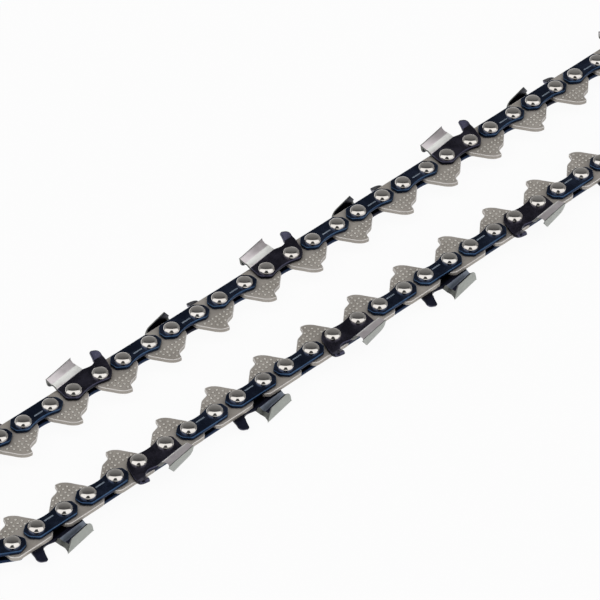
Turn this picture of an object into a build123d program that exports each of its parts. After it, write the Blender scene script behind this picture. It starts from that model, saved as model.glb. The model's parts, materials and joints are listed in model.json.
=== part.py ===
from build123d import *
import os
from math import cos, radians, sin

# A loop of saw chain that lies on its side. Every drive link hangs between two outer links, and an
# outer link is two side plates held together by two rivets. Along a link, x runs in the cutting
# direction and y away from the guide bar. Millimetres and degrees.

# Loop: two straight runs and two ends, each half the same as the other turned by half a turn
PITCHES_PER_HALF = 17
END_TURNS = (32, 37, 37, 31, 22, 12, 9)
DRIVE_PITCH = 8.73
STRAP_PITCH = 10.07

# Drive link
GAUGE = 1.3
DRIVE_END = 3.2
DRIVE_TOP = 4.5
TOP_CHAMFER = 1.45
SHOULDER = 2.9
TANG_DEPTH = 9.9
HOOK_BACK = 1.1
SOLE_BACK = 2.9
SOLE_DEPTH = 9.6
HEEL_BACK = 5.0
HEEL_DEPTH = 7.2
NOTCH_BACK = 0.2
NOTCH_DEPTH = 7.9
CHEEK_FRONT = 3.0
CHEEK_DEPTH = 6.8

# Side plates
STRAP_THICKNESS = 1.1
SIDE_CLEARANCE = 0.05
STRAP_END = 3.8
STRAP_OUT = 3.5
STRAP_IN = 3.35
END_FLAT = 1.25
OUT_CORNER = 1.7
IN_CORNER = 1.0
WAIST = 2.1

# Rivets: faceted heads and pivots, so that the whole loop stays light
HEAD_RADIUS = 2.55
HEAD_HEIGHT = 1.0
HEAD_SIDES = 8
PIVOT_RADIUS = 1.9
PIVOT_CLEARANCE = 0.08
PIVOT_SIDES = 5

# Cutter: distances from its rear rivet along x, and from the line of rivets along y
CUTTER_NOSE = 3.45
GAUGE_FOOT = 15.7
GAUGE_FOOT_OUT = 4.0
GAUGE_FRONT = 16.1
GAUGE_FRONT_OUT = 6.7
GAUGE_BROW = 15.5
GAUGE_BROW_OUT = 7.8
GAUGE_TIP = 13.8
GAUGE_TIP_OUT = 8.6
GAUGE_HEEL = 12.9
GAUGE_HEEL_OUT = 5.7
GULLET_FRONT = 11.9
GULLET_FRONT_OUT = 4.7
GULLET_FLOOR = 10.3
GULLET_FLOOR_OUT = 4.3
TOOTH_FRONT = 7.2
TOOTH_REAR = -3.6
TOOTH_FOLD = 4.8
TOOTH_FLARE_OUT = 6.0
TOOTH_FLARE = 2.0
TOOTH_CORNER = 9.3
TOP_PLATE_EDGE = 8.6
TOP_PLATE_DROP = 2.0
TOOTH_CLEARANCE = 1.2

# Cutters alternate hands. With an odd number of them, two of one hand meet at one end of the loop
SAME_HAND_AT = 8

# Pivots on each straight run where a side-plate link and the next drive link are one piece
FIRST_FUSED = 2
FUSED_EVERY = 8

LINKS_PER_HALF = 2 * PITCHES_PER_HALF
LINK_COUNT = 2 * LINKS_PER_HALF
STRAIGHT_LINKS = LINKS_PER_HALF - len(END_TURNS) + 1
PLATE_INNER = GAUGE / 2 + SIDE_CLEARANCE
PLATE_OUTER = PLATE_INNER + STRAP_THICKNESS
MID_HEIGHT = PLATE_OUTER + TOOTH_FLARE
HOLE_RADIUS = (PIVOT_RADIUS + PIVOT_CLEARANCE) / cos(radians(180 / PIVOT_SIDES))


def plate(points, bottom, thickness):
    """A flat plate with the given outline, from the height bottom upwards."""
    face = make_face(Polyline(*points, close=True))
    return Pos(0, 0, bottom) * extrude(face, amount=thickness, dir=(0, 0, 1))


def drive_link(holes):
    """A drive link with pivot holes at the given places along x."""
    reach = DRIVE_PITCH / 2 + DRIVE_END
    outline = [
        (-reach + TOP_CHAMFER, DRIVE_TOP),
        (reach - TOP_CHAMFER, DRIVE_TOP),
        (reach, DRIVE_TOP - TOP_CHAMFER),
        (reach, -SHOULDER),
        (CHEEK_FRONT, -CHEEK_DEPTH),
        (-NOTCH_BACK, -NOTCH_DEPTH),
        (-HOOK_BACK, -TANG_DEPTH),
        (-SOLE_BACK, -SOLE_DEPTH),
        (-HEEL_BACK, -HEEL_DEPTH),
        (-reach, -SHOULDER),
        (-reach, DRIVE_TOP - TOP_CHAMFER),
    ]
    link = plate(outline, -GAUGE / 2, GAUGE)
    for x in holes:
        hole = extrude(RegularPolygon(HOLE_RADIUS, PIVOT_SIDES), amount=GAUGE, both=True)
        link -= Pos(x, 0, 0) * hole
    return link


def strap_underside():
    """The edge that rides on the guide bar, from the rear end to the front end."""
    foot = STRAP_PITCH / 2 + IN_CORNER
    return [
        (-foot, -STRAP_IN),
        (0, -WAIST),
        (foot, -STRAP_IN),
    ]


def tie_strap():
    """The plain side plate of the upper side."""
    end = STRAP_PITCH / 2 + STRAP_END
    corner = STRAP_PITCH / 2 + OUT_CORNER
    outline = strap_underside() + [
        (end, -END_FLAT),
        (end, END_FLAT),
        (corner, STRAP_OUT),
        (-corner, STRAP_OUT),
        (-end, END_FLAT),
        (-end, -END_FLAT),
    ]
    return plate(outline, PLATE_INNER, STRAP_THICKNESS)


def cutter():
    """The cutting side plate of the upper side: side plate, depth gauge, and the tooth folded over."""
    rear_rivet = -STRAP_PITCH / 2
    end = STRAP_PITCH / 2 + STRAP_END
    fold_rear = TOOTH_FOLD - TOOTH_CLEARANCE
    outline = strap_underside() + [
        (STRAP_PITCH / 2 + CUTTER_NOSE, -END_FLAT),
        (rear_rivet + GAUGE_FOOT, GAUGE_FOOT_OUT),
        (rear_rivet + GAUGE_FRONT, GAUGE_FRONT_OUT),
        (rear_rivet + GAUGE_BROW, GAUGE_BROW_OUT),
        (rear_rivet + GAUGE_TIP, GAUGE_TIP_OUT),
        (rear_rivet + GAUGE_HEEL, GAUGE_HEEL_OUT),
        (rear_rivet + GULLET_FRONT, GULLET_FRONT_OUT),
        (rear_rivet + GULLET_FLOOR, GULLET_FLOOR_OUT),
        (rear_rivet + TOOTH_FRONT, TOOTH_FOLD),
        (rear_rivet + TOOTH_REAR, fold_rear),
        (-end, -END_FLAT),
    ]
    side_plate = plate(outline, PLATE_INNER, STRAP_THICKNESS)
    flat_end = GULLET_FLOOR_OUT - TOOTH_CLEARANCE
    section = [
        (flat_end, PLATE_OUTER),
        (fold_rear, PLATE_OUTER),
        (TOOTH_FLARE_OUT - TOOTH_CLEARANCE, PLATE_OUTER + TOOTH_FLARE),
        (TOOTH_CORNER - TOOTH_CLEARANCE, PLATE_OUTER + TOOTH_FLARE),
        (TOP_PLATE_EDGE - TOOTH_CLEARANCE, PLATE_OUTER - TOP_PLATE_DROP),
        (TOP_PLATE_EDGE - TOOTH_CLEARANCE - STRAP_THICKNESS, PLATE_OUTER - TOP_PLATE_DROP),
        (TOOTH_CORNER - TOOTH_CLEARANCE - STRAP_THICKNESS, PLATE_INNER + TOOTH_FLARE),
        (TOOTH_FLARE_OUT - TOOTH_CLEARANCE + STRAP_THICKNESS / 2, PLATE_INNER + TOOTH_FLARE),
        (fold_rear + STRAP_THICKNESS / 2, PLATE_INNER),
        (flat_end, PLATE_INNER),
    ]
    rear_face = make_face(Polyline(*[(rear_rivet + TOOTH_REAR, y, z) for y, z in section], close=True))
    along_tooth = Vector(TOOTH_FRONT - TOOTH_REAR, TOOTH_CLEARANCE, 0)
    tooth = extrude(rear_face, amount=along_tooth.length, dir=along_tooth.normalized())
    return side_plate + tooth


def rivet():
    """A rivet: the pivot between the side plates and a head on each side."""
    seat = STRAP_THICKNESS / 2
    body = extrude(RegularPolygon(PIVOT_RADIUS, PIVOT_SIDES), amount=PLATE_INNER + seat, both=True)
    head = extrude(RegularPolygon(HEAD_RADIUS, HEAD_SIDES), amount=HEAD_HEIGHT + seat)
    upper = Pos(0, 0, PLATE_OUTER - seat) * head
    return body + upper + mirror(upper, about=Plane.XY)


def outer_link(upper_plate, lower_plate):
    """Two side plates, both drawn for the upper side, joined by two rivets."""
    link = upper_plate + mirror(lower_plate, about=Plane.XY)
    for x in (-STRAP_PITCH / 2, STRAP_PITCH / 2):
        link += Pos(x, 0, 0) * rivet()
    return link


def is_drive(index):
    return index % 2 == 1


def is_fused(index):
    """True for an outer link that is one piece with the drive link after it."""
    place = index % LINKS_PER_HALF
    return place < STRAIGHT_LINKS - 1 and place % FUSED_EVERY == FIRST_FUSED


def outer_kind(index):
    """tie, right_cutter (upper side) or left_cutter (lower side)."""
    number = index // 2
    if number % 2 == 1:
        return "tie"
    cutter_number = number // 2
    hand = cutter_number + (1 if cutter_number >= SAME_HAND_AT else 0)
    return "right_cutter" if hand % 2 == 1 else "left_cutter"


def link_frames():
    """Middle and heading of each link, once round the loop, centred on the origin."""
    frames = []
    x, y, heading = 0.0, 0.0, 0.0
    for index in range(LINK_COUNT):
        place = index % LINKS_PER_HALF
        if index > 0 and place == 0:
            heading -= END_TURNS[-1]
        elif place >= STRAIGHT_LINKS:
            heading -= END_TURNS[place - STRAIGHT_LINKS]
        length = DRIVE_PITCH if is_drive(index) else STRAP_PITCH
        step_x = length * cos(radians(heading))
        step_y = length * sin(radians(heading))
        frames.append((x + step_x / 2, y + step_y / 2, heading))
        x += step_x
        y += step_y
    centre_x = sum(frame[0] for frame in frames) / LINK_COUNT
    centre_y = sum(frame[1] for frame in frames) / LINK_COUNT
    return [(fx - centre_x, fy - centre_y, turn) for fx, fy, turn in frames]


def node_name(index):
    """The name of the node that holds a link."""
    carrier = index - 1 if is_drive(index) and is_fused(index - 1) else index
    number = carrier // 2 + 1
    if is_drive(carrier):
        return f"drive_link_{number:02d}"
    middle = "_and_drive_link_" if is_fused(carrier) else "_link_"
    return f"{outer_kind(carrier)}{middle}{number:02d}"


def centring(shapes):
    """The shift that puts the middle of the loop's outline on the vertical axis."""
    boxes = [shape.bounding_box() for shape in shapes]
    middle_x = (min(box.min.X for box in boxes) + max(box.max.X for box in boxes)) / 2
    middle_y = (min(box.min.Y for box in boxes) + max(box.max.Y for box in boxes)) / 2
    return Pos(-middle_x, -middle_y, 0)


def build():
    """Every node of the loop by name."""
    half_drive = DRIVE_PITCH / 2
    outer_links = {
        "tie": outer_link(tie_strap(), tie_strap()),
        "right_cutter": outer_link(cutter(), tie_strap()),
        "left_cutter": outer_link(tie_strap(), cutter()),
    }
    plain_drive = drive_link((-half_drive, half_drive))
    front_holed_drive = Pos((STRAP_PITCH + DRIVE_PITCH) / 2, 0, 0) * drive_link((half_drive,))
    fused_links = {kind: link + front_holed_drive for kind, link in outer_links.items()}
    nodes = {}
    for index, (x, y, turn) in enumerate(link_frames()):
        if is_drive(index) and is_fused(index - 1):
            continue
        if is_drive(index):
            shape = plain_drive
        elif is_fused(index):
            shape = fused_links[outer_kind(index)]
        else:
            shape = outer_links[outer_kind(index)]
        nodes[node_name(index)] = Location((x, y, MID_HEIGHT), (0, 0, turn)) * shape
    shift = centring(nodes.values())
    return {name: shift * shape for name, shape in nodes.items()}


if __name__ == "__main__":
    os.makedirs("parts", exist_ok=True)
    for name, shape in build().items():
        export_step(shape, f"parts/{name}.step")
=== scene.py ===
import json
from math import cos, pi, radians, sin, sqrt

import bmesh
import bpy
from mathutils import Matrix, Vector

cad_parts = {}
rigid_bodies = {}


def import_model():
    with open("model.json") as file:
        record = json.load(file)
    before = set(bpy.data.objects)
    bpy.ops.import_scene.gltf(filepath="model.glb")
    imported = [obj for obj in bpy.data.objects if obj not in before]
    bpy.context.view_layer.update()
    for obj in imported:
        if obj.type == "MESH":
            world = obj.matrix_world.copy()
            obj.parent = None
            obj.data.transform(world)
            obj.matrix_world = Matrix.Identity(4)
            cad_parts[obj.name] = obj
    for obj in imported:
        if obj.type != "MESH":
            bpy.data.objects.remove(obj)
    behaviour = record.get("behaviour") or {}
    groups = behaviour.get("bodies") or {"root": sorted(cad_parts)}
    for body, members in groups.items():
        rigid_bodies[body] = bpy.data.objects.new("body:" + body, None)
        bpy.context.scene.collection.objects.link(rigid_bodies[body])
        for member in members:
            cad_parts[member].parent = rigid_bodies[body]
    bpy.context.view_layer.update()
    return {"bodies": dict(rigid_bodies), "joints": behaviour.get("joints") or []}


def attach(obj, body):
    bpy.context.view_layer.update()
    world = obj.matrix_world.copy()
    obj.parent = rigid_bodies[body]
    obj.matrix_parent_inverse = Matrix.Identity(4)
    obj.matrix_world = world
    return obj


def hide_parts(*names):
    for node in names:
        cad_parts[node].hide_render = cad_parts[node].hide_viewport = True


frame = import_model()

# Each link is modelled once, in millimetres, lying flat: x in the cutting direction, y away from the guide
# bar, z along the rivets from the middle of the chain. Copies then go to their places round the loop.
MM = 0.001

# The loop: two straight runs and two ends, each half the same as the other turned by half a turn.
# END_TURNS holds the degrees at the pivots of one end. One pivot of the frame places the whole loop.
END_TURNS = (32, 37, 37, 31, 22, 12, 9)
LINKS_PER_HALF = 34
DRIVE_PITCH = 8.73
STRAP_PITCH = 10.07
MATCHED_PIVOT = 29

# Plates. A rim is rounded in two steps, and RIM_SHARE is the part of its width that the steep step takes.
GAUGE = 1.3
PLATE_INNER = 0.7
STRAP_THICKNESS = 1.1
PLATE_OUTER = PLATE_INNER + STRAP_THICKNESS
RIM_SHARE = 0.29
FLAT_BORDER = 0.12
STRAP_RIM = 0.23
DRIVE_RIM = 0.18
CORNER_STEPS = 4
SMOOTH_ANGLE = radians(35)

# Straps: their ends as seen from a rivet, and the foot and waist that side plates have towards the guide bar
STRAP_REACH = 3.8
STRAP_TIP = 1.25
STRAP_TOP = 3.5
STRAP_TOP_REACH = 1.7
STRAP_ROUNDING = 0.5
FOOT_Y = -3.35
FOOT_REACH = 1.0
FOOT_ROUNDING = 0.9
WAIST_Y = -2.1
WAIST_FROM = 3.1
WAIST_ROUNDING = 1.5

# Raised line on a strap: the lower half of its block is in the plate, and its top is drawn in and up
RIDGE_SIZE = (3.2, 0.42, 0.2)
RIDGE_MIDDLE = (0.3, -0.35, PLATE_OUTER)
RIDGE_SLOPE = 0.13
RIDGE_CROWN = 0.06

# Drive links
DRIVE_REACH = 3.2
DRIVE_TOP = 4.5
DRIVE_CORNER = 1.45
HOLE_RADIUS = 1.98
HOLE_SIDES = 24

# Dots on the tangs. Each row has its height, its foremost dot and how many dots it has, and each ring of
# a dot, from its foot inwards, has how far it goes in and how far it rises.
DOT_RADIUS = 0.53
DOT_SIDES = 8
DOT_STEP = 1.5
DOT_ROWS = ((-4.15, 5.15, 8), (-5.6, 3.45, 6), (-7.05, -0.05, 3), (-8.65, -1.75, 1))
DOT_RINGS = ((0.14, 0.14), (0.17, 0.06))

# Rivets. The rings of a head, from its foot inwards, also have how far they go in and how far they rise.
PIVOT_RADIUS = 1.9
HEAD_RADIUS = 2.47
HEAD_SIDES = 28
HEAD_SHOULDER = ((0.03, 0.3), (0.07, 0.2), (0.1, 0.18), (0.13, 0.145), (0.15, 0.1), (0.17, 0.06))
HEAD_TOP = ((0.25, 0.09), (0.55, 0.045), (0.55, 0.03), (0.35, 0.01))

# Depth gauge: its tip is bent along a line across it
TIP_X = 14
TIP_BEND_AT = 5.45
TIP_BEND = radians(27)

# Tooth: a sheet whose front edge follows the round gullet, apart from its last rows, which have their own
# fronts. Rows go across the sheet from the side plate to the free edge: the distance from the rivets' line,
# and the rise above the plate at the front edge and at the rear edge.
GULLET_X = 9.7
GULLET_Y = 7.2
GULLET_RADIUS = 2.85
GULLET_LEAN = 0.2
FOLD_AT = 4.95
FOLD_WIDTH = 1.2
FOLD_REAR = -2.8
TOOTH_REAR = -3.65
TOOTH_TAPER = 0.195
TOOTH_SHEET = (
    (3.6, -0.25, -0.25),
    (FOLD_AT, -0.02, -0.02),
    (5.35, 0.7, 0.6),
    (5.85, 1.36, 1.2),
    (6.2, 1.5, 1.28),
    (7.2, 1.68, 1.45),
    (8.4, 1.9, 1.66),
    (8.95, 1.99, 1.75),
    (9.2, 1.97, 1.73),
    (9.4, 1.78, 1.56),
    (9.12, 0.6, 0.5),
    (8.5, -1.8, -1.5),
)
FREE_EDGE_FRONTS = (6.7, 4.9)
FIRST_PULL = 30
REAR_CORNER = 1.7
REAR_CORNER_STEPS = 5
TOOTH_THICKNESS = 0.7
TOOTH_GRIND = 1.4
GRIND_FROM = 3
GRIND_TOP = 7.4
GRIND_RISE = 0.8
EDGE_THINNING = 0.4
THINNED_FROM = 5.5
THINNED_DROP = 0.4
TOOTH_BREAK = 0.1
TOOTH_BREAK_STEPS = 2
TOOTH_BREAK_ANGLE = radians(50)
# Outer faces of the tooth beyond this distance from the rivets' line get the dark ground-edge finish, as a
# painted shade line along the top plate's bend
PAINTED_SHADE_LINE_AT = 8.05

# Tests on faces and vertices: shares of a normal along an axis, a margin, and what counts as the same place
LEVEL = 0.9
RIM_LEAST = 0.1
RIM_MOST = 0.98
DOT_FOOT = 0.8
FACES_OUT = 0.5
FACES_IN = -0.3
MARGIN = 0.01
SAME_PLACE = 1e-3

# Camera, fitted to the rivets of both runs
VIEW_TURN = radians(44.55)
VIEW_RISE = radians(40.48)
VIEW_DISTANCE = 1.2015
VIEW_TARGET = Vector((-0.0127, -0.0001, 0.0062))
VIEW_LENS = 251.7
VIEW_SENSOR = 36
VIEW_CLIP = 0.05

# Floor, just under the part, and how much of it is glow where the camera or the metal sees it
FLOOR_SIZE = 6
FLOOR_HEIGHT = -0.0002
FLOOR_TONE = 0.86
FLOOR_ROUGHNESS = 0.9
FLOOR_GLOW = 0.94

# Studio surroundings: tones from the far horizon at 0, over the top, to the near horizon at 1. To the left
# and right the far, dark part has one even tone. A dark gap in the bright part widens towards the near
# horizon, and shows as a notch in the rivets' shine. Pairs of values are where a smooth step starts and ends.
# At this level of light a pale level face shows about as bright as it is written.
SKY_LEVEL = 1.3
SKY_TONES = (
    (0.0, 0.26),
    (0.08, 0.25),
    (0.16, 0.19),
    (0.225, 0.13),
    (0.27, 0.065),
    (0.325, 0.03),
    (0.355, 0.88),
    (0.55, 0.92),
    (0.9, 0.88),
    (1.0, 0.66),
)
SIDE_TONE = 0.19
SIDE_START = (0.3, 0.42)
SIDE_END = (0.315, 0.35)
GAP_TONE = 0.03
GAP_START = (0.43, 0.48)
GAP_END = (0.97, 1.0)
GAP_EDGE = (-0.04, 0.04)
GAP_FROM = 0.44
GAP_HALF_WIDTH = 0.08
GAP_WIDENING = 0.78


class Wire:
    """A socket in a node tree. Arithmetic on it adds Math nodes, and node() adds any other kind."""

    def __init__(self, tree, socket):
        self.tree = tree
        self.socket = socket

    def node(self, kind, settings=None, inputs=None, output=0):
        made = self.tree.nodes.new(kind)
        for name, value in (settings or {}).items():
            if name == "stops":
                set_stops(made.color_ramp, value)
            else:
                setattr(made, name, value)
        for name, value in (inputs or {}).items():
            if isinstance(value, Wire):
                self.tree.links.new(value.socket, made.inputs[name])
            else:
                made.inputs[name].default_value = value
        return Wire(self.tree, made.outputs[output])

    def math(self, operation, first, second=0.0):
        return self.node("ShaderNodeMath", {"operation": operation}, {0: first, 1: second})

    def __add__(self, other):
        return self.math("ADD", self, other)

    def __radd__(self, other):
        return self.math("ADD", other, self)

    def __sub__(self, other):
        return self.math("SUBTRACT", self, other)

    def __rsub__(self, other):
        return self.math("SUBTRACT", other, self)

    def __mul__(self, other):
        return self.math("MULTIPLY", self, other)

    def __rmul__(self, other):
        return self.math("MULTIPLY", other, self)

    def __truediv__(self, other):
        return self.math("DIVIDE", self, other)

    def between(self, low, high):
        """0 below low, 1 above high and a smooth step between them."""
        return self.node("ShaderNodeMapRange", {"interpolation_type": "SMOOTHSTEP"},
                         {"Value": self, "From Min": low, "From Max": high})

    def mix(self, plain, full):
        """The colour plain where this is 0 and full where it is 1."""
        return self.node("ShaderNodeMix", {"data_type": "RGBA"}, {0: self, 6: plain, 7: full}, 2)

    def noise(self, size, detail=2.0, roughness=0.5):
        """Cloudy noise with patches about size metres across. This wire is the place it is read at."""
        return self.node("ShaderNodeTexNoise", None,
                         {"Vector": self, "Scale": 1 / size, "Detail": detail, "Roughness": roughness})


def set_stops(ramp, stops):
    while len(ramp.elements) < len(stops):
        ramp.elements.new(1.0)
    for element, (place, colour) in zip(ramp.elements, stops):
        element.position = place
        element.color = colour


def grey(level):
    return (level, level, level, 1.0)


def opaque(colour):
    return (*colour, 1.0)


def new_finish(name):
    """A material with a Principled shader. Returns it, its shader and the place on the piece."""
    finish = bpy.data.materials.new(name)
    finish.use_nodes = True
    tree = finish.node_tree
    shader = tree.nodes["Principled BSDF"]
    place = Wire(tree, tree.nodes.new("ShaderNodeTexCoord").outputs["Object"])
    return finish, shader, place


def feed(shader, **wires):
    """Links wires to a shader's sockets, with _ for a space in the name."""
    for name, wire in wires.items():
        wire.tree.links.new(wire.socket, shader.inputs[name.replace("_", " ")])


def bump(wire, strength, distance):
    return wire.node("ShaderNodeBump", None, {"Height": wire, "Strength": strength, "Distance": distance})


def blued_finish(name, dark, light, rough):
    """Heat-blued steel: a dark mirror tone with cloudy patches, fine grain and slightly dull spots."""
    finish, shader, place = new_finish(name)
    clouds = place.noise(size=0.004, detail=3.0).between(0.35, 0.7)
    specks = place.noise(size=0.0006, detail=2.0).between(0.5, 0.68)
    grain = place.noise(size=0.00018, detail=2.0)
    shader.inputs["Metallic"].default_value = 1.0
    feed(
        shader,
        Base_Color=(0.6 * clouds + 0.4 * specks).mix(opaque(dark), opaque(light)),
        Roughness=rough + 0.1 * clouds + 0.08 * grain,
        Normal=bump(grain, strength=0.12, distance=0.00002),
    )
    return finish


def nickel_finish(name, dark, light, rough, metal, grained=1.0):
    """Nickel plating: even grain with faint warm patches. A low grained value makes it a mirror. It also
    gives the lighter, duller blue of the strap's raised line and the tooth's inside, which is painted light.
    """
    finish, shader, place = new_finish(name)
    patches = place.noise(size=0.006, detail=3.0).between(0.3, 0.75)
    grain = place.noise(size=0.00022, detail=3.0, roughness=0.65)
    shader.inputs["Metallic"].default_value = metal
    feed(
        shader,
        Base_Color=(0.65 * patches + 0.35 * grain).mix(opaque(dark), opaque(light)),
        Roughness=rough + 0.12 * grained * patches + 0.1 * grained * grain,
        Normal=bump(grain, strength=0.18 * grained, distance=0.00003),
    )
    return finish


def chrome_finish(name, dark, light, rough, metal):
    """Hard chrome on the tooth: ground lines along the tooth and fine grain."""
    finish, shader, place = new_finish(name)
    stretched = place.node("ShaderNodeMapping", None, {"Vector": place, "Scale": (0.12, 1.0, 1.0)})
    lines = stretched.noise(size=0.00025, detail=3.0, roughness=0.6)
    patches = place.noise(size=0.003, detail=2.0).between(0.35, 0.7)
    shader.inputs["Metallic"].default_value = metal
    feed(
        shader,
        Base_Color=(0.5 * lines + 0.5 * patches).mix(opaque(dark), opaque(light)),
        Roughness=rough + 0.12 * lines + 0.08 * patches,
        Normal=bump(lines, strength=0.15, distance=0.00003),
    )
    return finish


def make_finishes():
    """Each finish: its darkest and lightest colour, its roughness and, unless blued, how metallic it is."""
    return {
        "strap": blued_finish("blued_strap", (0.026, 0.038, 0.076), (0.054, 0.076, 0.14), 0.16),
        # Rounded rims: a lighter, more saturated blue, partly edge wear and partly a painted highlight along
        # the edges
        "strap_rim": blued_finish("blued_strap_rim", (0.034, 0.07, 0.145), (0.075, 0.14, 0.245), 0.14),
        # Edges and inner faces: a darker blue as painted shade
        "strap_wall": blued_finish("blued_strap_wall", (0.012, 0.022, 0.05), (0.02, 0.036, 0.085), 0.3),
        # The raised line: a lighter, duller blue-grey as a painted highlight
        "strap_mark": nickel_finish("bare_strap_mark", (0.18, 0.23, 0.29), (0.28, 0.33, 0.39), 0.3, 0.3),
        "cutter": blued_finish("blued_cutter", (0.038, 0.036, 0.055), (0.08, 0.076, 0.11), 0.2),
        # Rounded rims: a lighter blue, partly edge wear and partly a painted highlight
        "cutter_rim": blued_finish("blued_cutter_rim", (0.052, 0.052, 0.085), (0.1, 0.098, 0.15), 0.18),
        # Edges, inner faces and the tooth's inner side: a very dark blue as painted shade
        "cutter_wall": blued_finish("blued_cutter_wall", (0.01, 0.011, 0.02), (0.018, 0.019, 0.034), 0.3),
        # Inner faces of the tooth turned away from the guide bar: a lighter, duller blue than the rest of its
        # inner side, as painted light
        "tooth_inside": nickel_finish("bare_tooth_inside", (0.2, 0.235, 0.3), (0.28, 0.32, 0.39), 0.3, 0.4),
        "tooth_strip": chrome_finish("chromed_strip", (0.72, 0.66, 0.68), (0.86, 0.81, 0.83), 0.26, 0.85),
        # Flank faces: a lighter, more diffuse tone than the strip, as painted light
        "tooth_flank": chrome_finish("chromed_flank", (0.84, 0.84, 0.81), (0.94, 0.95, 0.92), 0.3, 0.3),
        # Top plate faces: a darker, duller grey, as painted shade
        "tooth_top": chrome_finish("chromed_top", (0.38, 0.4, 0.37), (0.48, 0.5, 0.465), 0.35, 0.15),
        # The tooth's ground edges, and also a painted shade line along the top plate's bend
        "tooth_ground_and_shade": chrome_finish("ground_edge", (0.1, 0.105, 0.098), (0.2, 0.205, 0.19), 0.3, 0.6),
        "drive": nickel_finish("nickel_drive", (0.4, 0.365, 0.325), (0.53, 0.49, 0.445), 0.34, 0.35),
        # Rounded rims: a lighter, shinier nickel as a painted highlight
        "drive_rim": nickel_finish("nickel_drive_rim", (0.7, 0.665, 0.64), (0.86, 0.83, 0.8), 0.22, 0.6),
        # Dot domes: a lighter nickel than the tang, as a painted highlight
        "dot": nickel_finish("nickel_dot", (0.66, 0.63, 0.57), (0.8, 0.77, 0.71), 0.25, 0.3),
        # Dot feet: a dark ring round each dot, as painted shade
        "dot_foot": nickel_finish("nickel_dot_foot", (0.24, 0.22, 0.195), (0.32, 0.295, 0.265), 0.4, 0.3),
        "rivet": nickel_finish("nickel_rivet", (0.69, 0.65, 0.61), (0.8, 0.775, 0.74), 0.05, 0.97, 0.25),
    }


def pick(kind, wanted):
    """Selects what passes the test, of the vertices or faces of the piece being edited."""
    mesh = bpy.context.edit_object.data
    shape = bmesh.from_edit_mesh(mesh)
    modes = {"verts": "VERT", "faces": "FACE"}
    bpy.ops.mesh.select_mode(type=modes[kind])
    bpy.ops.mesh.select_all(action="DESELECT")
    for item in getattr(shape, kind):
        if wanted(item):
            item.select_set(True)
    shape.select_flush_mode()
    bmesh.update_edit_mesh(mesh)


def near(x, y):
    return lambda vert: abs(vert.co.x - x) < SAME_PLACE and abs(vert.co.y - y) < SAME_PLACE


def take(piece):
    """Selects the piece alone and makes it the active one."""
    bpy.ops.object.select_all(action="DESELECT")
    bpy.context.view_layer.objects.active = piece
    piece.select_set(True)


def start_point(place):
    """A mesh of one vertex at that place, in edit mode."""
    bpy.ops.object.select_all(action="DESELECT")
    bpy.ops.mesh.primitive_plane_add(size=1)
    bpy.ops.object.mode_set(mode="EDIT")
    bpy.ops.mesh.select_mode(type="VERT")
    bpy.ops.mesh.select_all(action="SELECT")
    bpy.ops.mesh.merge(type="CENTER")
    bpy.ops.transform.translate(value=place)
    return bpy.context.edit_object


def draw_on(points):
    """Extrudes the selected vertex from point to point."""
    for before, after in zip(points, points[1:]):
        step = Vector(after) - Vector(before)
        bpy.ops.mesh.extrude_region_move(TRANSFORM_OT_translate={"value": step})


def outline(points, height):
    """Draws a filled outline. Each point is x, y and how far its corner is rounded."""
    places = [(x, y, height) for x, y, rounding in points]
    piece = start_point(places[0])
    draw_on(places)
    bpy.ops.mesh.select_all(action="SELECT")
    bpy.ops.mesh.edge_face_add()
    for x, y, rounding in points:
        pick("verts", near(x, y))
        bpy.ops.mesh.bevel(offset=rounding, segments=CORNER_STEPS, affect="VERTICES")
    return piece


def thick_plate(points, bottom, thickness, rim):
    """A plate with that outline and rounded rims on both faces, left in edit mode."""
    piece = outline(points, bottom + rim)
    bpy.ops.mesh.select_all(action="SELECT")
    bpy.ops.mesh.extrude_region_move(TRANSFORM_OT_translate={"value": (0, 0, thickness - 2 * rim)})
    bpy.ops.mesh.select_all(action="SELECT")
    bpy.ops.mesh.normals_make_consistent(inside=False)
    for side in (1, -1):
        pick("faces", lambda face: face.normal.z * side > LEVEL)
        bpy.ops.mesh.inset(thickness=RIM_SHARE * rim, depth=(1 - RIM_SHARE) * rim)
        bpy.ops.mesh.inset(thickness=(1 - RIM_SHARE) * rim, depth=RIM_SHARE * rim)
        bpy.ops.mesh.inset(thickness=FLAT_BORDER, depth=0)
    return piece


def assign(piece, first, tests):
    """Gives the faces that pass each test the next material, from slot number first on, and ends editing."""
    for number, test in enumerate(tests, first):
        piece.active_material_index = number
        pick("faces", test)
        bpy.ops.object.material_slot_assign()
    bpy.ops.object.mode_set(mode="OBJECT")


def dress(piece, finishes, *tests):
    """The first finish goes all over the piece, and each further one to the faces that pass its test."""
    for finish in finishes:
        piece.data.materials.append(finish)
    assign(piece, 1, tests)


def apply_modifier(piece, kind, **settings):
    """Applies a modifier to the piece, which is the active one."""
    bpy.ops.object.modifier_add(type=kind)
    modifier = piece.modifiers[-1]
    for name, value in settings.items():
        setattr(modifier, name, value)
    bpy.ops.object.modifier_apply(modifier=modifier.name)


def cut_away(piece, tool):
    """Cuts the tool's shape out of the piece and removes the tool."""
    take(piece)
    apply_modifier(piece, "BOOLEAN", object=tool, operation="DIFFERENCE")
    bpy.data.objects.remove(tool)


def join_to(piece, others):
    take(piece)
    for other in others:
        other.select_set(True)
    bpy.ops.object.join()


def smooth(piece):
    take(piece)
    bpy.ops.object.shade_smooth_by_angle(angle=SMOOTH_ANGLE)


def is_rim(face):
    return RIM_LEAST < face.normal.z < RIM_MOST


def is_any_rim(face):
    return RIM_LEAST < abs(face.normal.z) < RIM_MOST


def is_wall(face):
    """The edge of a side plate and its inner face."""
    return face.normal.z <= RIM_LEAST


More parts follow.
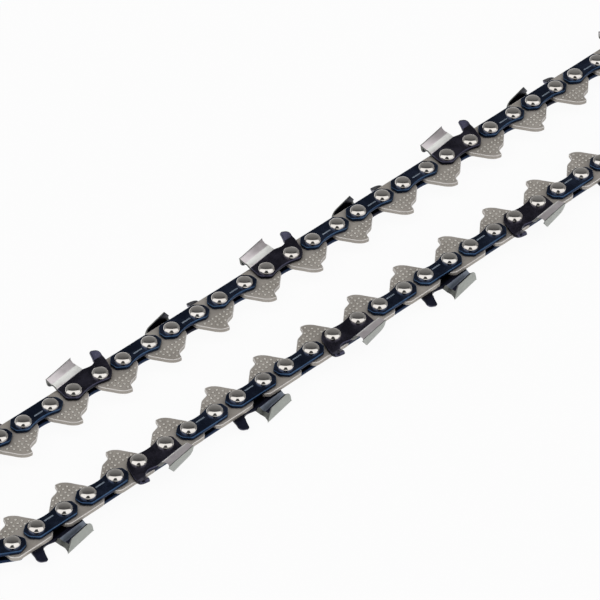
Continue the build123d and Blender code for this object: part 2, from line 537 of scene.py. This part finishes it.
def plate_foot(first, last):
    """A side plate's edge towards the guide bar, from the rear rivet's foot to the front one's."""
    return [
        (first - FOOT_REACH, FOOT_Y, FOOT_ROUNDING),
        (first + WAIST_FROM, WAIST_Y, WAIST_ROUNDING),
        (last - WAIST_FROM, WAIST_Y, WAIST_ROUNDING),
        (last + FOOT_REACH, FOOT_Y, FOOT_ROUNDING),
    ]


def model_strap(finishes):
    """Tie strap of the upper side, with a short raised line on its outer face."""
    rear, front = -STRAP_PITCH / 2, STRAP_PITCH / 2
    points = plate_foot(rear, front) + [
        (front + STRAP_REACH, -STRAP_TIP, STRAP_ROUNDING),
        (front + STRAP_REACH, STRAP_TIP, STRAP_ROUNDING),
        (front + STRAP_TOP_REACH, STRAP_TOP, STRAP_ROUNDING),
        (rear - STRAP_TOP_REACH, STRAP_TOP, STRAP_ROUNDING),
        (rear - STRAP_REACH, STRAP_TIP, STRAP_ROUNDING),
        (rear - STRAP_REACH, -STRAP_TIP, STRAP_ROUNDING),
    ]
    strap = thick_plate(points, PLATE_INNER, STRAP_THICKNESS, STRAP_RIM)
    # Rims get the lighter blue, partly a painted highlight, and the edges and inner face the darker blue as
    # painted shade
    dress(strap, [finishes["strap"], finishes["strap_rim"], finishes["strap_wall"]], is_rim, is_wall)
    join_to(strap, [model_ridge(finishes)])
    smooth(strap)
    return strap


def model_ridge(finishes):
    """A short raised line with sloping sides, sunk a little into the strap's outer face."""
    bpy.ops.object.select_all(action="DESELECT")
    bpy.ops.mesh.primitive_cube_add(size=1, location=RIDGE_MIDDLE)
    ridge = bpy.context.object
    # The raised line is coloured lighter than the strap as a painted highlight
    ridge.data.materials.append(finishes["strap_mark"])
    bpy.ops.object.transform_apply(location=True, rotation=False, scale=False)
    bpy.ops.object.mode_set(mode="EDIT")
    bpy.ops.mesh.select_all(action="SELECT")
    bpy.ops.transform.resize(value=RIDGE_SIZE, center_override=RIDGE_MIDDLE)
    pick("faces", lambda face: face.normal.z > LEVEL)
    bpy.ops.mesh.inset(thickness=RIDGE_SLOPE, depth=RIDGE_CROWN)
    bpy.ops.object.mode_set(mode="OBJECT")
    return ridge


def model_drive(finishes):
    """Drive link: holed plate with a hooked tang and rows of raised dots on both faces."""
    half = DRIVE_PITCH / 2
    reach = half + DRIVE_REACH
    # Along the top, down the front, round the tang and its hook, and up the rear
    points = [
        (-reach + DRIVE_CORNER, DRIVE_TOP, 0.6),
        (reach - DRIVE_CORNER, DRIVE_TOP, 0.6),
        (reach, DRIVE_TOP - DRIVE_CORNER, 0.6),
        (reach, -2.9, 0.8),
        (3.1, -6.8, 0.6),
        (0.4, -7.5, 0.5),
        (-0.35, -8.2, 0.5),
        (-1.1, -10.05, 0.25),
        (-2.8, -9.75, 0.8),
        (-4.4, -8.3, 0.9),
        (-5.5, -6.3, 1.1),
        (-reach, -2.9, 1.2),
        (-reach, DRIVE_TOP - DRIVE_CORNER, 0.6),
    ]
    plate = thick_plate(points, -GAUGE / 2, GAUGE, DRIVE_RIM)
    # Rims get the lighter nickel as a painted highlight
    dress(plate, [finishes["drive"], finishes["drive_rim"]], is_any_rim)
    for x in (-half, half):
        bpy.ops.object.select_all(action="DESELECT")
        bpy.ops.mesh.primitive_cylinder_add(
            vertices=HOLE_SIDES, radius=HOLE_RADIUS, depth=2 * GAUGE, location=(x, 0, 0))
        bpy.ops.object.transform_apply(location=True, rotation=False, scale=False)
        cut_away(plate, bpy.context.object)
    join_to(plate, model_dots(finishes))
    smooth(plate)
    return plate


def model_dots(finishes):
    """Pegs through the tang that stand out on both faces as low domes."""
    bpy.ops.object.select_all(action="DESELECT")
    bpy.ops.mesh.primitive_cylinder_add(vertices=DOT_SIDES, radius=DOT_RADIUS, depth=GAUGE)
    first = bpy.context.object
    bpy.ops.object.mode_set(mode="EDIT")
    for side in (1, -1):
        pick("faces", lambda face: face.normal.z * side > LEVEL)
        for inward, rise in DOT_RINGS:
            bpy.ops.mesh.inset(thickness=inward, depth=rise)
    # Domes get the lighter dot tone as a painted highlight, and the sides and sloped foot ring the dark tone
    # as painted shade
    dress(first, [finishes["dot"], finishes["dot_foot"]], lambda face: abs(face.normal.z) < DOT_FOOT)
    dots = []
    for y, foremost, count in DOT_ROWS:
        for number in range(count):
            mesh = first.data.copy()
            mesh.transform(Matrix.Translation((foremost - DOT_STEP * number, y, 0)))
            dot = bpy.data.objects.new("dot", mesh)
            bpy.context.scene.collection.objects.link(dot)
            dots.append(dot)
    bpy.data.objects.remove(first)
    return dots


def model_rivet(finishes):
    """A rivet with a low domed head at each end."""
    bpy.ops.object.select_all(action="DESELECT")
    bpy.ops.mesh.primitive_cylinder_add(vertices=HEAD_SIDES, radius=PIVOT_RADIUS, depth=2 * PLATE_OUTER)
    rivet = bpy.context.object
    rivet.data.materials.append(finishes["rivet"])
    bpy.ops.object.mode_set(mode="EDIT")
    spread = HEAD_RADIUS / PIVOT_RADIUS
    for side in (1, -1):
        pick("faces", lambda face: face.calc_center_median().z * side > PLATE_OUTER - MARGIN)
        bpy.ops.mesh.extrude_region_move()
        bpy.ops.transform.resize(value=(spread, spread, 1), center_override=(0, 0, 0))
        for inward, rise in HEAD_SHOULDER + HEAD_TOP:
            bpy.ops.mesh.inset(thickness=inward, depth=rise)
    bpy.ops.object.mode_set(mode="OBJECT")
    smooth(rivet)
    return rivet


def model_cutter(finishes):
    """Cutter of the upper side: side plate, depth gauge bent at its tip, and the folded tooth."""
    # Along the foot, up the depth gauge, down into the gullet, and back below the tooth
    points = plate_foot(0, STRAP_PITCH) + [
        (13.6, -1.3, 1.0),
        (15.7, 4.0, 1.0),
        (16.15, 6.8, 0.6),
        (15.4, 7.75, 0.5),
        (13.5, 8.5, 0.6),
        (13.0, 6.3, 0.4),
        (12.6, 5.4, 0.4),
        (11.85, 4.75, 0.4),
        (10.9, 4.45, 0.4),
        (10.0, 4.5, 0.3),
        (7.75, 5.05, 0.2),
        (FOLD_REAR, 3.8, 0.3),
        (-3.6, -1.0, 0.8),
    ]
    plate = thick_plate(points, PLATE_INNER, STRAP_THICKNESS, STRAP_RIM)
    bpy.ops.mesh.select_all(action="SELECT")
    bpy.ops.mesh.bisect(plane_co=(TIP_X, TIP_BEND_AT, 0), plane_no=(0, 1, 0))
    pick("verts", lambda vert: vert.co.y > TIP_BEND_AT + MARGIN)
    bend_line = (TIP_X, TIP_BEND_AT, PLATE_OUTER)
    bpy.ops.transform.rotate(value=-TIP_BEND, orient_axis="X", center_override=bend_line)
    # Rims get the lighter blue, partly a painted highlight, and the edges and inner face the very dark blue
    # as painted shade
    dress(plate, [finishes["cutter"], finishes["cutter_rim"], finishes["cutter_wall"]], is_rim, is_wall)
    join_to(plate, [model_tooth(finishes)])
    take(plate)
    bpy.ops.transform.translate(value=(-STRAP_PITCH / 2, 0, 0))
    bpy.ops.object.transform_apply(location=True, rotation=False, scale=False)
    smooth(plate)
    return plate


def gullet_edge(y, rise):
    """Where the round gullet cuts the tooth, at that distance from the rivets' line and that rise."""
    return GULLET_X - GULLET_LEAN * rise - sqrt(max(GULLET_RADIUS ** 2 - (y - GULLET_Y) ** 2, 0))


def sheet_fronts():
    """The tooth's front edge: along the gullet, then across the top plate to its free edge."""
    along = len(TOOTH_SHEET) - len(FREE_EDGE_FRONTS)
    fronts = [gullet_edge(y, rise) for y, rise, rear_rise in TOOTH_SHEET[:along]]
    fronts.extend(FREE_EDGE_FRONTS)
    return [Vector((x, y, PLATE_OUTER + rise)) for x, (y, rise, rear_rise) in zip(fronts, TOOTH_SHEET)]


def sheet_rears():
    """The tooth's rear edge. It lies lower than the front one and nearer to the rivets."""
    places = []
    for y, rise, rear_rise in TOOTH_SHEET:
        turned = min(max((y - FOLD_AT) / FOLD_WIDTH, 0), 1)
        x = FOLD_REAR + (TOOTH_REAR - FOLD_REAR) * turned
        places.append(Vector((x, y * (1 - TOOTH_TAPER), PLATE_OUTER + rear_rise)))
    return places


def draw_sheet():
    """The tooth's outer face: drawn along its front edge, pulled back and then fitted to its rear edge."""
    fronts = sheet_fronts()
    rears = sheet_rears()
    sheet = start_point(fronts[0])
    draw_on(fronts)
    bpy.ops.mesh.select_all(action="SELECT")
    back = Vector((-FIRST_PULL, 0, 0))
    bpy.ops.mesh.extrude_region_move(TRANSFORM_OT_translate={"value": back})
    for front, rear in zip(fronts, rears):
        pick("verts", lambda vert: (vert.co - front - back).length < SAME_PLACE)
        bpy.ops.transform.translate(value=rear - front - back)
    pick("verts", lambda vert: (vert.co - rears[-1]).length < SAME_PLACE)
    bpy.ops.mesh.bevel(offset=REAR_CORNER, segments=REAR_CORNER_STEPS, affect="VERTICES")
    bpy.ops.mesh.select_all(action="SELECT")
    bpy.ops.mesh.normals_make_consistent(inside=False)
    bpy.ops.object.mode_set(mode="OBJECT")
    return sheet


def is_ground(place):
    """At the sheet's front edge, apart from that of the top plate."""
    return place.x > GRIND_FROM and (place.y < GRIND_TOP or place.z > PLATE_OUTER + GRIND_RISE)


def is_thinned(place):
    """At the top plate's free edge."""
    return place.y > THINNED_FROM and place.z < PLATE_OUTER - THINNED_DROP


def model_tooth(finishes):
    """The tooth: a bent sheet that rises from the plate, flares out and folds back over the chain."""
    tooth = draw_sheet()
    outer = [vert.co.copy() for vert in tooth.data.vertices]
    kinds = ("tooth_strip", "cutter_wall", "tooth_inside", "tooth_flank", "tooth_top", "tooth_ground_and_shade")
    for kind in kinds:
        tooth.data.materials.append(finishes[kind])
    outside = kinds.index("tooth_strip")
    inside = kinds.index("cutter_wall")
    rim = kinds.index("tooth_ground_and_shade")
    apply_modifier(tooth, "SOLIDIFY", thickness=TOOTH_THICKNESS, offset=-1.0, use_even_offset=True,
                   material_offset=inside, material_offset_rim=rim)

    def is_inner(vert):
        return min((vert.co - place).length for place in outer) > SAME_PLACE

    bpy.ops.object.mode_set(mode="EDIT")
    pick("verts", lambda vert: is_inner(vert) and is_ground(vert.co))
    bpy.ops.transform.translate(value=(-TOOTH_GRIND, 0, 0))
    pick("verts", lambda vert: is_inner(vert) and is_thinned(vert.co))
    bpy.ops.transform.translate(value=(0, EDGE_THINNING, 0))
    bpy.ops.object.mode_set(mode="OBJECT")
    apply_modifier(tooth, "BEVEL", width=TOOTH_BREAK, segments=TOOTH_BREAK_STEPS, limit_method="ANGLE",
                   angle_limit=TOOTH_BREAK_ANGLE)
    bpy.ops.object.mode_set(mode="EDIT")
    assign(tooth, inside + 1, (
        # Inner faces turned away from the guide bar: the lighter inside blue, painted light
        lambda face: face.material_index == inside and face.normal.y > FACES_OUT,
        # Outer faces turned towards the guide bar: the lighter flank tone, painted light
        lambda face: face.material_index == outside and face.normal.y < FACES_IN,
        # Outer faces turned away from the guide bar: the darker top tone, painted shade
        lambda face: face.material_index == outside and face.normal.y > FACES_OUT,
        # Outer faces beyond that distance: the dark ground-edge finish as a painted shade line along the top
        # plate's bend
        lambda face: face.material_index == outside and face.calc_center_median().y > PAINTED_SHADE_LINE_AT,
    ))
    return tooth


def link_places():
    """Place of each link round the loop, as a matrix from its own axes in millimetres."""
    straight = LINKS_PER_HALF - len(END_TURNS) + 1
    x, y, heading = 0.0, 0.0, 0.0
    starts, middles = [], []
    for index in range(2 * LINKS_PER_HALF):
        step = index % LINKS_PER_HALF
        if index > 0 and step == 0:
            heading -= END_TURNS[-1]
        elif step >= straight:
            heading -= END_TURNS[step - straight]
        length = DRIVE_PITCH if index % 2 else STRAP_PITCH
        along = Vector((length * cos(radians(heading)), length * sin(radians(heading)), 0))
        start = Vector((x, y, 0))
        starts.append(start)
        middles.append((start + along / 2, heading))
        x += along.x
        y += along.y
    joint = next(joint for joint in frame["joints"] if joint["name"] == f"pivot_{MATCHED_PIVOT:02d}")
    shift = Vector(joint["pos_m"]) - starts[MATCHED_PIVOT] * MM
    return [
        Matrix.Translation(middle * MM + shift) @ Matrix.Rotation(radians(turn), 4, "Z") @ Matrix.Scale(MM, 4)
        for middle, turn in middles
    ]


def carrier(index):
    """The body that carries a link: an outer link for an even index, a drive link for an odd one."""
    number = f"{index // 2 + 1:02d}"
    if index % 2 and f"drive_link_{number}" in frame["bodies"]:
        return f"drive_link_{number}"
    numbered = [name for name in frame["bodies"] if name.endswith("link_" + number)]
    return next(name for name in numbered if not name.startswith("drive"))


def copy_to(template, name, place, body, mirrored=False):
    """A copy with its own mesh, put at its place, riding on its body."""
    mesh = template.data.copy()
    if mirrored:
        mesh.transform(Matrix.Scale(-1, 4, (0, 0, 1)))
        mesh.flip_normals()
    mesh.transform(place)
    mesh.name = name
    piece = bpy.data.objects.new(name, mesh)
    bpy.context.scene.collection.objects.link(piece)
    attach(piece, body)
    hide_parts(body)


def build_chain(finishes):
    strap = model_strap(finishes)
    cutter = model_cutter(finishes)
    drive = model_drive(finishes)
    rivet = model_rivet(finishes)
    for index, place in enumerate(link_places()):
        body = carrier(index)
        number = f"{index // 2 + 1:02d}"
        if index % 2:
            copy_to(drive, f"drive_plate_{number}", place, body)
            continue
        for side, hand in (("upper", "right"), ("lower", "left")):
            if body.startswith(hand):
                copy_to(cutter, f"{side}_cutter_{number}", place, body, side == "lower")
            else:
                copy_to(strap, f"{side}_strap_{number}", place, body, side == "lower")
        for end, x in (("rear", -STRAP_PITCH / 2), ("front", STRAP_PITCH / 2)):
            rivet_place = place @ Matrix.Translation((x, 0, 0))
            copy_to(rivet, f"{end}_rivet_{number}", rivet_place, body)
    for template in (strap, cutter, drive, rivet):
        bpy.data.objects.remove(template)


def make_floor():
    """A pale floor that shows white to the camera and in the metal, and keeps the chain's shadow."""
    bpy.ops.object.select_all(action="DESELECT")
    bpy.ops.mesh.primitive_plane_add(size=FLOOR_SIZE, location=(0, 0, FLOOR_HEIGHT))
    floor = bpy.context.object
    floor.name = "floor"
    finish = bpy.data.materials.new("pale_floor")
    finish.use_nodes = True
    tree = finish.node_tree
    shader = tree.nodes["Principled BSDF"]
    shader.inputs["Base Color"].default_value = grey(FLOOR_TONE)
    shader.inputs["Roughness"].default_value = FLOOR_ROUGHNESS
    shader.inputs["Specular IOR Level"].default_value = 0.0
    path = tree.nodes.new("ShaderNodeLightPath")
    seen = Wire(tree, path.outputs["Is Camera Ray"])
    mirrored = Wire(tree, path.outputs["Is Glossy Ray"])
    glow = seen.node("ShaderNodeEmission", None, {"Color": grey(1.0), "Strength": 1.0})
    share = FLOOR_GLOW * seen.math("MAXIMUM", seen, mirrored)
    lit = Wire(tree, shader.outputs["BSDF"])
    both = seen.node("ShaderNodeMixShader", None, {0: share, 1: lit, 2: glow})
    tree.links.new(both.socket, tree.nodes["Material Output"].inputs["Surface"])
    floor.data.materials.append(finish)


def make_surroundings():
    """Studio surroundings as the metal sees them. The camera sees plain white."""
    world = bpy.data.worlds.new("studio")
    bpy.context.scene.world = world
    world.use_nodes = True
    tree = world.node_tree
    sky = tree.nodes["Background"]
    heading = Wire(tree, tree.nodes.new("ShaderNodeTexCoord").outputs["Generated"])
    apart = tree.nodes.new("ShaderNodeSeparateXYZ")
    tree.links.new(heading.socket, apart.inputs[0])
    x, y, z = (Wire(tree, apart.outputs[axis]) for axis in "XYZ")
    away = x * sin(VIEW_TURN) + y * cos(VIEW_TURN)
    aside = x * cos(VIEW_TURN) - y * sin(VIEW_TURN)
    over = x.math("ARCTAN2", z, away) / pi
    sideways = aside.math("ABSOLUTE", aside)
    stops = [(place, grey(level)) for place, level in SKY_TONES]
    dome = over.node("ShaderNodeValToRGB", {"stops": stops}, {"Fac": over})
    sides = sideways.between(*SIDE_START) * (1 - over.between(*SIDE_END))
    half_width = GAP_HALF_WIDTH + GAP_WIDENING * (over - GAP_FROM)
    gap_length = over.between(*GAP_START) * (1 - over.between(*GAP_END))
    gap = gap_length * (half_width - sideways).between(*GAP_EDGE)
    shaded = gap.mix(sides.mix(dome, grey(SIDE_TONE)), grey(GAP_TONE))
    seen = Wire(tree, tree.nodes.new("ShaderNodeLightPath").outputs["Is Camera Ray"])
    tree.links.new(seen.mix(shaded, grey(1 / SKY_LEVEL)).socket, sky.inputs["Color"])
    sky.inputs["Strength"].default_value = SKY_LEVEL


def make_camera():
    back = Vector((
        -sin(VIEW_TURN) * cos(VIEW_RISE),
        -cos(VIEW_TURN) * cos(VIEW_RISE),
        sin(VIEW_RISE),
    ))
    bpy.ops.object.select_all(action="DESELECT")
    bpy.ops.object.camera_add(location=VIEW_TARGET + VIEW_DISTANCE * back)
    camera = bpy.context.object
    camera.rotation_euler = back.to_track_quat("Z", "Y").to_euler()
    camera.data.lens = VIEW_LENS
    camera.data.sensor_width = VIEW_SENSOR
    camera.data.clip_start = VIEW_CLIP
    bpy.context.scene.camera = camera


bpy.context.scene.view_settings.view_transform = "Standard"
build_chain(make_finishes())
make_floor()
make_surroundings()
make_camera()
